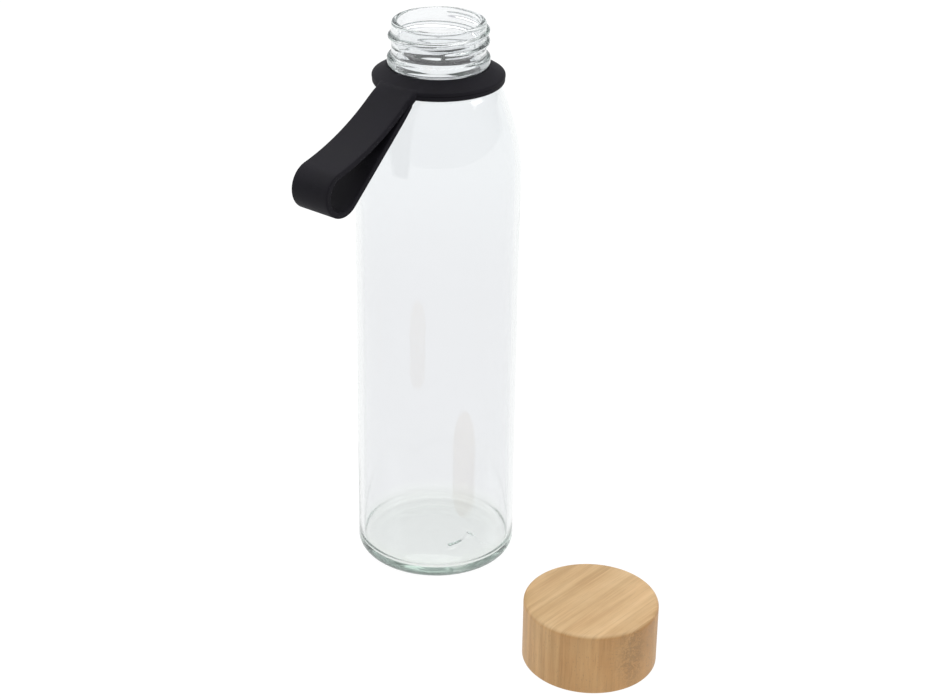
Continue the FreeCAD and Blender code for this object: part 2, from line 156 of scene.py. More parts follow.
class BottleStageSettings(bpy.types.PropertyGroup):
    floor_size: length("Floor size", "Width of the floor", 24.0)
    floor_glow: FloatProperty(
        name="Floor glow", description="Light given off by the floor, as on a light table",
        default=0.98, min=0,
    )
    sky: FloatProperty(name="Sky", description="Strength of the soft surroundings", default=1.0)
    lens: FloatProperty(name="Lens", description="Focal length on a 36 mm sensor", default=76.04)


GROUPS = {
    "bottle_glass": BottleGlassSettings,
    "bottle_strap": BottleStrapSettings,
    "bottle_lid": BottleLidSettings,
    "bottle_stage": BottleStageSettings,
}


# ---- Profiles and surfaces ----


def rounded(corners, closed=False, step=3.0):
    """An outline through corners (across, up, radius) with each corner cut by an arc of its radius.

    The arc touches both sides at radius * tan(half the turn) from the corner. On a side too short
    for that it touches just before the middle, or before the far end of the first or last side.
    Straight runs are divided so that none is longer than step. Gives one point in each row.
    """
    points = [np.array(corner[:2], float) for corner in corners]
    radii = [corner[2] if len(corner) > 2 else 0.0 for corner in corners]
    out = []
    last = len(points) - 1
    for index, point in enumerate(points):
        at_end = not closed and index in (0, last)
        if at_end or radii[index] <= 0:
            out.append(point[None])
            continue
        before, after = points[index - 1], points[(index + 1) % len(points)]
        way_in, way_out = point - before, after - point
        run_in, run_out = np.linalg.norm(way_in), np.linalg.norm(way_out)
        way_in, way_out = way_in / run_in, way_out / run_out
        cross = way_in[0] * way_out[1] - way_in[1] * way_out[0]
        turn = math.atan2(cross, way_in @ way_out)
        if abs(turn) < STRAIGHT:
            out.append(point[None])
            continue
        room_in = run_in * (HALF_SIDE if index > 1 or closed else WHOLE_SIDE)
        room_out = run_out * (HALF_SIDE if index + 1 < last or closed else WHOLE_SIDE)
        reach = min(radii[index] * math.tan(abs(turn) / 2), room_in, room_out)
        radius = reach / math.tan(abs(turn) / 2)
        count = max(2, int(math.ceil(abs(turn) / ARC_STEP)), int(abs(turn) * radius / step))
        side = math.copysign(1, turn)
        start = point - way_in * reach
        centre = start + side * radius * np.array([-way_in[1], way_in[0]])
        angles = np.linspace(0, turn, count + 1)
        spoke = start - centre
        out.append(np.stack([
            centre[0] + spoke[0] * np.cos(angles) - spoke[1] * np.sin(angles),
            centre[1] + spoke[0] * np.sin(angles) + spoke[1] * np.cos(angles),
        ], axis=1))
    path = np.concatenate(out)
    return divided(path, step, closed)


def divided(path, step, closed=False):
    """The path with every run longer than step cut into equal parts."""
    ends = np.roll(path, -1, axis=0) if closed else path[1:]
    starts = path if closed else path[:-1]
    parts = np.maximum(1, np.ceil(np.linalg.norm(ends - starts, axis=1) / step)).astype(int)
    which = np.repeat(np.arange(len(parts)), parts)
    within = np.arange(len(which)) - np.repeat(np.cumsum(parts) - parts, parts)
    share = (within / parts[which])[:, None]
    points = starts[which] + (ends - starts)[which] * share
    return points if closed else np.concatenate([points, path[-1:]])


def smooth(value):
    """0 below 0 and 1 above 1, with a soft start and end between them."""
    value = np.clip(value, 0, 1)
    return value * value * (3 - 2 * value)


def screw_ridge(angle, level, start, pitch, turns, heading, root_half, crest_half):
    """Share of a screw thread's height at each angle and level.

    The ridge's middle climbs one pitch in a turn from start. For each pass of the thread over an
    angle, the share is soft across the ridge, full within crest_half of its middle and none past
    root_half, and fades in and out over a twelfth of a turn at the thread's two ends.
    """
    fade_rate = 12
    passes = np.arange(-1, 4)[:, None, None]
    turn = ((angle - heading) / TURN)[None] % 1 + passes
    off = np.abs(level[None] - start - pitch * turn)
    across = smooth((root_half - off) / (root_half - crest_half))
    along = smooth(turn * fade_rate) * smooth((turns - turn) * fade_rate)
    return (across * along).max(axis=0)


def put_mesh(name, grid, poles=(False, False), rows_wrap=False):
    """A mesh from a grid of points, rows by columns by 3, in millimetres.

    Each cell is a four-sided face. Columns wrap round, and rows too if asked. A pole, the first or
    the last row, is drawn together into one point with a fan of triangles. Each point also keeps
    its place as the attribute rest_place, for patterns that stay put while a piece bends.
    """
    rows, columns = grid.shape[:2]
    points = grid.reshape(-1, 3) * MM
    number = np.arange(rows * columns).reshape(rows, columns)
    below = np.roll(number, -1, axis=0)
    beside = np.roll(number, -1, axis=1)
    quads = np.stack([number, beside, np.roll(below, -1, axis=1), below], axis=-1)
    if not rows_wrap:
        quads = quads[:-1]
    first, last = quads[0], quads[-1]
    quads = quads[int(poles[0]):len(quads) - int(poles[1])]
    used = np.zeros(len(points), bool)
    used[quads] = True
    used[[number[0, 0], number[-1, 0]]] = True
    renumber = np.cumsum(used) - 1
    faces = renumber[quads.reshape(-1, 4)].tolist()
    if poles[0]:
        fan = [np.full(columns, number[0, 0]), first[:, 2], first[:, 3]]
        faces += renumber[np.stack(fan, axis=1)].tolist()
    if poles[1]:
        fan = [last[:, 0], last[:, 1], np.full(columns, number[-1, 0])]
        faces += renumber[np.stack(fan, axis=1)].tolist()
    mesh = bpy.data.meshes.new(name)
    mesh.from_pydata(points[used].tolist(), [], faces)
    mesh.shade_smooth()
    rest = mesh.attributes.new("rest_place", "FLOAT_VECTOR", "POINT")
    rest.data.foreach_set("vector", points[used].astype(np.float32).ravel())
    mesh.validate()
    mesh.update()
    return mesh


def turned(name, profile, columns, middle=(0.0, 0.0), closed=False, shape=None):
    """A mesh of revolution: the profile (across, up) carried round the vertical through middle.

    shape takes the grids of angle, distance from the axis and level, and gives the last two back,
    changed where the surface isn't round.
    """
    angles = np.arange(columns) * TURN / columns
    angle, across = np.meshgrid(angles, profile[:, 0])
    level = np.repeat(profile[:, 1:2], columns, axis=1)
    if shape:
        across, level = shape(angle, across, level)
    grid = np.stack([
        middle[0] + across * np.cos(angle), middle[1] + across * np.sin(angle), level
    ], axis=-1)
    poles = (not closed and profile[0, 0] < ON_AXIS, not closed and profile[-1, 0] < ON_AXIS)
    return put_mesh(name, grid, poles, closed)


def add_piece(name, mesh, material, nodes, body=None):
    """Put a finished mesh in the scene as a piece that stands for CAD nodes."""
    mesh.materials.append(material)
    piece = bpy.data.objects.new(name, mesh)
    bpy.context.scene.collection.objects.link(piece)
    if body:
        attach(piece, body)
    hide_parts(*nodes)
    return piece


# ---- Materials ----


class Shader:
    """A material's node tree, with short calls to add and join nodes."""

    def __init__(self, name):
        self.material = bpy.data.materials.new(name)
        self.material.use_nodes = True
        self.tree = self.material.node_tree
        self.surface = self.tree.nodes["Principled BSDF"]
        self.output = self.tree.nodes["Material Output"]

    def node(self, kind, sockets=None, **settings):
        """A new node, with settings on it and values or links on its sockets."""
        made = self.tree.nodes.new("ShaderNode" + kind)
        for key, value in settings.items():
            setattr(made, key, value)
        for key, value in (sockets or {}).items():
            self.join(value, made.inputs[key])
        return made

    def join(self, value, socket):
        """Link an output into a socket, or set the socket's own value."""
        if isinstance(value, bpy.types.NodeSocket):
            self.tree.links.new(value, socket)
        else:
            socket.default_value = value

    def set(self, **values):
        """Values or links on the main shader's sockets, named with underscores."""
        for key, value in values.items():
            self.join(value, self.surface.inputs[key.replace("_", " ")])

    def place(self, scale=(1, 1, 1), shift=(0, 0, 0), turn=(0, 0, 0), attribute=None):
        """The piece's own coordinates, moved, turned and stretched."""
        if attribute:
            source = self.node("Attribute", attribute_name=attribute).outputs["Vector"]
        else:
            source = self.node("TexCoord").outputs["Object"]
        return self.node("Mapping", {
            "Vector": source, "Location": shift, "Rotation": turn, "Scale": scale
        }).outputs["Vector"]

    def noise(self, where, scale, detail=4.0, rough=0.55, twist=0.0):
        """Cloudy noise from 0 to 1, with scale in clouds to a metre."""
        return self.node("TexNoise", {
            "Vector": where, "Scale": scale, "Detail": detail, "Roughness": rough,
            "Distortion": twist,
        }).outputs["Fac"]

    def ramp(self, value, *stops):
        """A colour for each value, from stops of (place, colour)."""
        made = self.node("ValToRGB", {"Fac": value})
        band = made.color_ramp
        while len(band.elements) < len(stops):
            band.elements.new(0.5)
        for element, (place, shade) in zip(band.elements, stops):
            element.position = place
            element.color = (*shade, 1) if len(shade) == 3 else shade
        return made.outputs["Color"]

    def range(self, value, low, high, to_low, to_high):
        """The value carried from one range to another, held at its ends."""
        return self.node("MapRange", {
            "Value": value, "From Min": low, "From Max": high, "To Min": to_low, "To Max": to_high
        }).outputs["Result"]

    def maths(self, kind, first, second=0.0):
        """One step of arithmetic."""
        made = self.node("Math", operation=kind)
        self.join(first, made.inputs[0])
        self.join(second, made.inputs[1])
        return made.outputs["Value"]

    def mix(self, share, first, second, kind="MIX"):
        """Two colours mixed, by their place on the node, where several sockets share a name."""
        share_in, first_in, second_in, colour_out = 0, 6, 7, 2
        made = self.node("Mix", data_type="RGBA", blend_type=kind)
        self.join(share, made.inputs[share_in])
        self.join(first, made.inputs[first_in])
        self.join(second, made.inputs[second_in])
        return made.outputs[colour_out]

    def bump(self, height, strength, depth, before=None):
        """A normal for a height, whose full range is depth in metres."""
        sockets = {"Height": height, "Strength": strength, "Distance": depth}
        if before is not None:
            sockets["Normal"] = before
        return self.node("Bump", sockets).outputs["Normal"]


def toned(tint, *scales):
    """The tint as red, green, blue and alpha, scaled by one number or by three, at most 1."""
    scales = scales * 3 if len(scales) == 1 else scales
    return (*(min(1, value * scale) for value, scale in zip(tint, scales)), 1)


def make_glass():
    """Clear soda-lime glass: faint green in its depth, with the slow waves of a blown wall."""
    shader = Shader("bottle_glass")
    wave = shader.noise(shader.place((1, 1, 0.35)), 55.0, detail=2.0, rough=0.4)
    ripple = shader.noise(shader.place(), 420.0, detail=1.0, rough=0.4)
    smear = shader.noise(shader.place((1, 1, 0.6), (0.3, 0.1, 0.2)), 38.0, detail=5.0, rough=0.6)
    normal = shader.bump(wave, 0.25, 0.0006)
    normal = shader.bump(ripple, 0.06, 0.0001, normal)
    # Painted shade: the straight walls are tinted a little greyer than the base and the shoulder
    base_tone, shaded_wall_tone = (0.948, 0.966, 0.944), (0.911, 0.912, 0.925)
    shoulder_tone = (0.938, 0.946, 0.958)
    split = shader.node("SeparateXYZ", {"Vector": shader.place()})
    height = split.outputs["Z"]
    tone = shader.ramp(
        shader.range(height, 0.0, 0.2, 0.0, 1.0),
        (0.015, base_tone), (0.06, shaded_wall_tone), (0.6, shaded_wall_tone), (0.85, shoulder_tone),
    )
    # The heel is stippled, which softens what shows through it
    radius = shader.maths("SQRT", shader.maths(
        "ADD", shader.maths("POWER", split.outputs["X"], 2.0),
        shader.maths("POWER", split.outputs["Y"], 2.0)))
    stipple = shader.maths("MULTIPLY", shader.range(height, 0.004, 0.009, 0.20, 0.0),
                           shader.range(radius, 0.0235, 0.0265, 0.0, 1.0))
    haze = shader.range(smear, 0.45, 0.8, 0.0, 0.035)
    shader.set(
        Base_Color=tone, Transmission_Weight=1.0, IOR=1.52, Normal=normal,
        Roughness=shader.maths("MAXIMUM", haze, stipple),
    )
    depth = shader.node("VolumeAbsorption", {"Color": (0.83, 0.868, 0.85, 1), "Density": 85.0})
    shader.tree.links.new(depth.outputs["Volume"], shader.output.inputs["Volume"])
    return shader.material


def make_silicone(tint):
    """Matt black silicone: fine moulded grain, broad dull patches and a little dust."""
    shader = Shader("black_silicone")
    where = shader.place(attribute="rest_place")
    grain = shader.noise(where, 2600.0, detail=3.0, rough=0.6)
    patches = shader.noise(where, 90.0, detail=5.0, rough=0.62, twist=0.4)
    dust = shader.noise(where, 900.0, detail=6.0, rough=0.75)
    paler = tuple(value * 1.5 + 0.002 for value in tint)
    base = shader.mix(shader.range(patches, 0.35, 0.7, 0.0, 1.0), (*tint, 1), (*paler, 1))
    specks = shader.range(dust, 0.66, 0.76, 0.0, 0.2)
    dust_tone = (0.045, 0.045, 0.045, 1)
    base = shader.mix(specks, base, dust_tone)
    normal = shader.bump(grain, 0.35, 0.00006)
    normal = shader.bump(patches, 0.12, 0.0004, normal)
    shader.set(
        Base_Color=base, Normal=normal, Roughness=shader.range(patches, 0.3, 0.7, 0.55, 0.72),
        IOR=1.4, Specular_IOR_Level=0.16,
    )
    return shader.material


def make_bamboo(tint, middle, strip):
    """Laminated bamboo: glued strips side by side along X, with their fibres along Y.

    A random tone for each strip's number tints it. Noise drawn out along the fibres makes the
    streaks, cells show as dots on the end grain, and fine lines mark the glue joints.
    """
    shader = Shader("bamboo")
    skew = math.radians(1.9)
    where = shader.place(shift=(-middle[0], -middle[1], 0), turn=(0, 0, skew))
    warp = shader.noise(where, 22.0, detail=2.0, rough=0.5)
    split = shader.node("SeparateXYZ", {"Vector": where})
    across = shader.maths("ADD", split.outputs["X"], shader.maths("MULTIPLY", warp, 0.0008))
    count = shader.maths("DIVIDE", across, strip)
    number = shader.maths("FLOOR", count)
    within = shader.maths("FRACT", count)
    strip_tone = shader.node("TexWhiteNoise", {"W": number}, noise_dimensions="1D")
    long_fibres = (1.0, 0.035, 0.05)
    fibre_place = shader.node("VectorMath", {0: where, 1: long_fibres}, operation="MULTIPLY")
    shifted = shader.node("VectorMath", operation="ADD")
    shader.join(fibre_place.outputs["Vector"], shifted.inputs[0])
    shader.join(strip_tone.outputs["Color"], shifted.inputs[1])
    fibre = shader.noise(shifted.outputs["Vector"], 2100.0, detail=3.0, rough=0.6)
    streak = shader.noise(shifted.outputs["Vector"], 560.0, detail=4.0, rough=0.62)
    band = shader.noise(shifted.outputs["Vector"], 150.0, detail=2.0, rough=0.5)
    slow = shader.noise(where, 60.0, detail=3.0, rough=0.55)
    dark, pale = toned(tint, 0.80, 0.76, 0.66), toned(tint, 1.13, 1.18, 1.26)
    tone = shader.range(strip_tone.outputs["Value"], 0.0, 1.0, 0.36, 0.62)
    tone = shader.maths("ADD", tone, shader.range(streak, 0.3, 0.7, -0.36, 0.36))
    tone = shader.maths("ADD", tone, shader.range(band, 0.3, 0.7, -0.2, 0.2))
    tone = shader.maths("ADD", tone, shader.range(slow, 0.3, 0.7, -0.12, 0.12))
    base = shader.ramp(tone, (0.0, dark), (0.5, tint), (1.0, pale))
    thin = shader.range(fibre, 0.56, 0.70, 0.0, 0.32)
    base = shader.mix(thin, base, toned(tint, 0.6))
    facing = shader.node("SeparateXYZ", {"Vector": shader.node("TexCoord").outputs["Normal"]})
    # Painted shade: the side is multiplied darker and warmer than the top
    on_side = shader.range(shader.maths("ABSOLUTE", facing.outputs["Z"]), 0.45, 0.8, 1.0, 0.0)
    base = shader.mix(on_side, base, (0.90, 0.80, 0.67, 1), "MULTIPLY")
    # Painted light: the side of the lid that faces -X, towards the left softbox, is made a little
    # paler
    painted_light_side = shader.range(facing.outputs["X"], 0.15, -0.45, 0.0, 1.0)
    painted_light_side = shader.maths("MULTIPLY", painted_light_side, on_side)
    base = shader.mix(painted_light_side, base, (1.08, 1.15, 1.28, 1), "MULTIPLY")
    # Each strip has its own hue, and slow clouds turn it to red or to yellow
    hue = shader.node("SeparateColor", {"Color": strip_tone.outputs["Color"]}).outputs["Green"]
    cloud = shader.noise(shader.place((1, 0.4, 0.4), (0.2, 0.5, 0.1)), 120.0, detail=3.0, rough=0.6)
    ruddy = shader.maths("ADD", shader.range(hue, 0.0, 1.0, 0.0, 0.5),
                         shader.range(cloud, 0.35, 0.65, 0.0, 0.5))
    ruddy = shader.maths("MULTIPLY", ruddy, shader.range(on_side, 0.0, 1.0, 0.55, 1.0))
    base = shader.mix(ruddy, base, (0.97, 0.86, 0.74, 1), "MULTIPLY")
    # Fibre bundles: dots where the fibres end, short dashes where a strip's face shows
    pores = shader.node("TexVoronoi", {
        "Vector": shader.place((1, 0.05, 0.45), (-middle[0], 0, 0)), "Scale": 1250.0,
        "Randomness": 0.95,
    })
    dots = shader.range(pores.outputs["Distance"], 0.12, 0.26, 0.34, 0.0)
    on_end = shader.range(shader.maths("ABSOLUTE", facing.outputs["Y"]), 0.35, 0.9, 0.0, 1.0)
    base = shader.mix(shader.maths("MULTIPLY", dots, on_end), base, toned(tint, 0.42))
    weave = shader.noise(shader.place((0.3, 0.7, 1.0)), 1300.0, detail=3.0, rough=0.7)
    patch = shader.noise(shader.place((1.0, 1.0, 0.5)), 75.0, detail=2.0, rough=0.5)
    dashes = shader.maths("MULTIPLY", shader.range(weave, 0.52, 0.66, 0.0, 0.5),
                          shader.range(patch, 0.42, 0.6, 0.15, 1.0))
    on_face = shader.range(shader.maths("ABSOLUTE", facing.outputs["X"]), 0.55, 0.9, 0.0, 1.0)
    # A darker growth ring crosses one side
    ring_place = (0.0237, -0.0064, 0.006)
    from_ring = shader.node("VectorMath", {
        0: shader.place((1, 1, 0.4), (-middle[0], -middle[1], 0)), 1: ring_place
    }, operation="DISTANCE").outputs["Value"]
    ring = shader.range(from_ring, 0.0035, 0.0075, 1.0, 0.0)
    hatch_place = shader.place((0.6, 0.8, 1.0), (0.1, 0.2, 0.3))
    hatch = shader.noise(hatch_place, 760.0, detail=4.0, rough=0.7, twist=1.2)
    hatch = shader.range(hatch, 0.42, 0.56, 0.0, 0.55)
    ring = shader.maths("MULTIPLY", shader.maths("MULTIPLY", ring, hatch), on_face)
    base = shader.mix(ring, base, toned(tint, 0.44, 0.37, 0.29))
    base = shader.mix(shader.maths("MULTIPLY", dashes, on_face), base, toned(tint, 0.45))
    joint = shader.range(shader.maths("ABSOLUTE", shader.maths("SUBTRACT", within, 0.5)),
                         0.482, 0.499, 0.0, 0.22)
    base = shader.mix(joint, base, toned(tint, 0.5))
    normal = shader.bump(fibre, 0.25, 0.00012)
    normal = shader.bump(joint, 0.1, -0.0001, normal)
    shader.set(
        Base_Color=base, Normal=normal, Roughness=shader.range(streak, 0.3, 0.7, 0.46, 0.62),
        IOR=1.45, Coat_Weight=0.06, Coat_Roughness=0.35,
    )
    return shader.material


def make_moulded(name, tint, grain, roughness, glow):
    """A pale moulded plastic or rubber, with a fine grain and slight mottling."""
    shader = Shader(name)
    mottle = shader.noise(shader.place(), 130.0, detail=4.0, rough=0.6)
    fine = shader.noise(shader.place(), grain, detail=2.0, rough=0.5)
    shader.set(
        Base_Color=shader.mix(mottle, toned(tint, 0.9), toned(tint, 1.0)),
        Normal=shader.bump(fine, 0.2, 0.00005),
        Roughness=shader.range(mottle, 0.3, 0.7, roughness, roughness + 0.14),
        Subsurface_Weight=glow, Subsurface_Radius=(0.6, 0.6, 0.5), Subsurface_Scale=0.002,
    )
    return shader.material


# ---- Operators ----


class BottleGlassOperator(bpy.types.Operator):
    """Blow the glass bottle with its neck, bead and screw thread"""

    bl_idname = "bottle.add_glass"
    bl_label = "Glass bottle"

    def execute(self, context):
        size = context.scene.bottle_glass
        mm = {key: getattr(size, key) / MM for key in size.__annotations__}
        outside, inside = self.outlines(mm)
        lip = mm["height"]
        bead_top = lip - mm["finish_height"] + mm["bead_height"]
        fold = rounded([
            (11.1, -4.6), (12.4, 0.5, 7), (9.8, 7.4, 0.6), (15.0, 7.4, 4), (19.5, 4.8, 2), (21.5, 6.8)
        ], step=0.4)

        def shape(angle, across, level):
            """Add the thread outside the neck, slow rings in its bore and a fold on the floor.

            The rings are a sine of the level, swung a little by a sine of the angle. The fold is
            a bell curve of the distance from its line, which weakens from one end to the other.
            """
            ridge = screw_ridge(
                angle, level, lip - mm["thread_depth"], mm["thread_pitch"],
                size.thread_turns, size.thread_heading, root_half=1.2, crest_half=0.35,
            )
            on_neck = (across > mm["neck_radius"] - 0.2) & (level > bead_top)
            fade_run, lip_edge = 0.8, 1.3
            fade = smooth((level - bead_top) / fade_run)
            fade = fade * smooth((lip - lip_edge - level) / fade_run)
            across = across + ridge * on_neck * fade * mm["thread_height"]
            # Slow rings where the bore was drawn over its plug
            ring_pitch, ring_height, ring_depth = 3.6, 0.11, 8
            in_bore = (across < mm["neck_radius"] - 1) & (level > bead_top - ring_depth)
            window = smooth((level - bead_top + ring_depth) / 3) * smooth((lip - 2.5 - level) / 2)
            swing = np.sin(level * TURN / ring_pitch + 0.6 * np.sin(angle + 1.0))
            across = across + ring_height * swing * window * in_bore
            # The fold lies on the inside floor, clear of its corner
            fold_width, fold_height = 0.8, 0.7
            x, y = across * np.cos(angle), across * np.sin(angle)
            on_floor = (level > mm["push_up"] + 0.5) & (level < 7) & (across < 24.5)
            away = np.hypot(x[..., None] - fold[:, 0], y[..., None] - fold[:, 1])
            strength = np.linspace(1.0, 0.35, len(fold))[away.argmin(axis=-1)]
            mark = np.exp(-(away.min(axis=-1) / fold_width) ** 2) * strength
            level = level + fold_height * mark * on_floor
            return across, level

        profile = np.concatenate([outside, inside])
        mesh = turned("glass_bottle_blown", profile, 240, shape=shape)
        add_piece("glass_bottle_blown", mesh, make_glass(), ["glass_bottle"], "bottle")
        return {"FINISHED"}

    @staticmethod
    def outlines(mm):
        """The outline outside, from under the base to the lip, and inside, back to the floor.

        Shoulder and crown are arcs. Each is written as the corner where its two tangents meet,
        and its radius. The inside has the same two corners one wall in. It turns into the bore
        with an arc of its own, and its floor has a smaller corner than the heel and a low dome.
        """
        foot_out, foot_drop = 0.7, 4.6
        radius, wall, lip = mm["body_radius"], mm["wall"], mm["height"]
        neck, heel = mm["neck_radius"], mm["heel"]
        shoulder = lip - mm["shoulder_depth"]
        crown = np.array([neck + mm["crown_width"], lip - mm["crown_depth"]])
        bead_low = lip - mm["finish_height"]
        foot = np.array([neck + foot_out, bead_low - foot_drop])
        inset, rise = radius - crown[0], crown[1] - shoulder
        lean = 2 * math.atan2(inset, rise)
        bend = (inset**2 + rise**2) / (2 * inset)
        first = np.array([radius, shoulder + bend * math.tan(lean / 2)])
        chord = foot - crown
        foot_lean = 2 * math.atan2(-chord[0], chord[1]) - lean
        half = (foot_lean - lean) / 2
        tangent = np.linalg.norm(chord) / (2 * math.cos(half))
        crown_bend = tangent / math.tan(half)
        second = crown + tangent * np.array([-math.sin(lean), math.cos(lean)])
        bead = neck + mm["bead_projection"]
        bead_high = bead_low + mm["bead_height"]
        low = rounded([
            (0, mm["push_up"], 0), (14, 0.76 * mm["push_up"], 60), (22.5, 0.0, 8),
            (radius, 0.0, heel), (radius, shoulder, 0),
        ], step=4.0)
        upper = rounded([
            (radius, shoulder, 0), (*first, bend), (*second, crown_bend), (*foot, 1.2),
            (neck, foot[1] + 1.2, 1.4), (neck, bead_low, 0.5), (bead, bead_low + 0.25, 1.1),
            (bead, bead_high - 0.4, 2.0), (neck, bead_high + 0.1, 0.9), (neck, bead_high + 1.2, 0),
        ], step=1.6)
        thread_step, bore_step, floor_step = 0.22, 0.7, 0.6
        finish = np.array([[neck, bead_high + 1.2], [neck, lip - 1.7]])
        bore = neck - mm["neck_wall"]
        mouth = rounded([
            (neck, lip - 1.7, 0), (neck, lip, 1.3), (bore, lip, 0.75), (bore, lip - 2, 0),
        ], step=1.0)
        thread = divided(finish, thread_step)
        outside = np.concatenate([low[:-1], upper[:-1], thread[:-1], mouth])
        lean_in = wall * math.tan(lean / 2)
        first_in = first - np.array([wall, lean_in])
        normals = [np.array([math.cos(turn), math.sin(turn)]) for turn in (lean, foot_lean)]
        second_in = second - wall * (normals[0] + normals[1]) / (1 + normals[0] @ normals[1])
        inner, floor = radius - wall, mm["floor"]
        inside = rounded([
            (bore, lip - 2, 0), (bore, foot[1] + 3.0, 7.0), (*second_in, crown_bend - wall),
            (*first_in, bend - wall), (inner, floor + 0.1, 3.4),
            (18, floor + 0.3, 20), (0, mm["push_up"] + floor, 0),
        ], step=3.0)
        on_floor = inside[:, 1] < floor + 2.2
        in_neck = inside[:, 1] > foot[1] - 4
        return outside, np.concatenate([
            divided(inside[in_neck], bore_step)[1:], inside[~in_neck & ~on_floor],
            divided(inside[on_floor], floor_step),
        ])


class BottleStrapOperator(bpy.types.Operator):
    """Mould the strap: two stacked rings and the band folded into a loop"""

    bl_idname = "bottle.add_strap"
    bl_label = "Silicone strap"

    def execute(self, context):
        size = context.scene.bottle_strap
        silicone = make_silicone(tuple(size.tint))
        bore, rim, top = size.bore / MM, size.rim / MM, size.top / MM
        seam, gap, foot = top - 4.4, 0.03, top - 6.4
        upper = rounded([
            (bore, top - 2.0, 0.3), (rim - 1.2, seam + gap, 0.3), (rim, seam + gap, 0.22),
            (rim, top - 3.3, 2.8), (bore + 1.5, top - 0.05, 0.6), (bore, top, 0.4),
        ], closed=True, step=1.0)
        under = rim - 0.12
        lower = rounded([
            (bore, top - 3.4, 0.3), (bore + 2.1, top - 4.8, 1.5), (rim - 2.0, foot, 1.5),
            (under, foot, 2.0), (under, seam - gap, 0.22), (rim - 1.4, seam - gap, 0.3),
            (bore, top - 2.1, 0.3),
        ], closed=True, step=1.0)
        for node, outline in (("strap_ring_upper", upper), ("strap_ring_lower", lower)):
            name = node + "_moulded"
            mesh = turned(name, outline, 240, closed=True)
            add_piece(name, mesh, silicone, [node], "strap_collar")
        band = put_mesh("strap_band_moulded", self.band(size), rows_wrap=True)
        piece = add_piece("strap_band_moulded", band, silicone, ["strap_loop"])
        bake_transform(piece)
        return {"FINISHED"}

    @staticmethod
    def band(size):
        """The loop as a grid: an outline in the strap's upright plane, carried across its width.

        The outer outline runs from the rings down the lower leg, round the end and back up the
        upper leg. The inner outline lies one thickness in, held at the fork where the legs part.
        The section between the two is a rectangle as wide as the band with rounded corners, and
        it widens in a small fillet where it meets the rings.
        """
        reach, level = size.loop_reach / MM, size.end_level / MM
        bend, thick = size.end_bend / MM, size.band_thickness / MM
        middle = np.array([reach - bend, level])
        flex = np.array([26.2, 197.5])
        root = np.array([24.5, 192.9])
        bite = 20.6
        slope = math.radians(13)
        fork = 26.8
        fillet = 1.0
        rim = size.rim / MM
        # Lower leg: the straight line from the root that touches the end circle
        away = root - middle
        far = np.linalg.norm(away)
        spread = math.acos(bend / far)
        low_angle = math.atan2(away[1], away[0]) + spread
        low_angle = low_angle - TURN if low_angle > 0 else low_angle
        top_angle = math.pi / 2 - slope
        # Upper leg: the arc from the end circle that passes through the flex line
        top = middle + bend * np.array([math.cos(top_angle), math.sin(top_angle)])
        run, climb = top[0] - flex[0], flex[1] - top[1]
        leg = (run**2 + climb**2) / (2 * (climb * math.cos(slope) - run * math.sin(slope)))
        leg_middle = top + leg * np.array([math.sin(slope), math.cos(slope)])
        start_angle = math.atan2(*(top - leg_middle)[::-1])
        end_angle = math.atan2(*(flex - leg_middle)[::-1])
        low = middle + bend * np.array([math.cos(low_angle), math.sin(low_angle)])
        around = np.linspace(low_angle, top_angle, 60)
        leg_angles = np.linspace(start_angle, end_angle, 40)
        lower = rounded([(bite, 197.6, 0), (22.9, 196.2, 1.0), (*root, 2.0), (*low, 0)], step=0.9)
        nose = middle + bend * np.stack([np.cos(around), np.sin(around)], 1)
        upper = leg_middle + leg * np.stack([np.cos(leg_angles), np.sin(leg_angles)], 1)
        head = rounded([
            (*upper[-2], 0), (*flex, 4.0), (24.4, 199.0, 3.0), (bite, 199.9, 0)
        ], step=0.6)
        outer = np.concatenate([lower[:-1], nose, upper[1:-2], head])
        outer = np.concatenate([outer, divided(np.stack([head[-1], lower[0]]), 0.8)[1:-1]])
        ahead = np.roll(outer, -1, 0) - np.roll(outer, 1, 0)
        ahead /= np.linalg.norm(ahead, axis=1)[:, None]
        # Near the rings the legs thin out, so that a slit stays open between them
        leg_lean, half_slit, thinnest, full_from = math.radians(43), 0.1, 0.3, 45
        peak = np.argmax(outer[:, 0])
        low_side, top_side = outer[:peak], outer[peak:]
        top_z = np.interp(outer[:, 0], top_side[::-1, 0], top_side[::-1, 1])
        low_z = np.interp(outer[:, 0], low_side[:, 0], low_side[:, 1])
        room = (top_z - low_z) * math.cos(leg_lean) / 2 - half_slit
        inward_by = np.where(outer[:, 0] < full_from, np.clip(room, thinnest, thick), thick)
        inner = outer + inward_by[:, None] * np.stack([-ahead[:, 1], ahead[:, 0]], 1)
        steps = np.linalg.norm(np.diff(outer, axis=0), axis=1)
        along = np.concatenate([[0], np.cumsum(steps)])
        held_low, held_top = 7, 6
        held = (inner[:, 0] < fork) | (along < held_low) | (along > along[-1] - held_top)
        inner[held] = (inner[~held][0] + inner[~held][-1]) / 2
        # Section: a closed loop of (share from inner to outer, across the width)
        half = size.band_width / MM / 2
        quarter = np.linspace(0, math.pi / 2, 6)
        depth = np.linalg.norm(outer - inner, axis=1)[:, None]
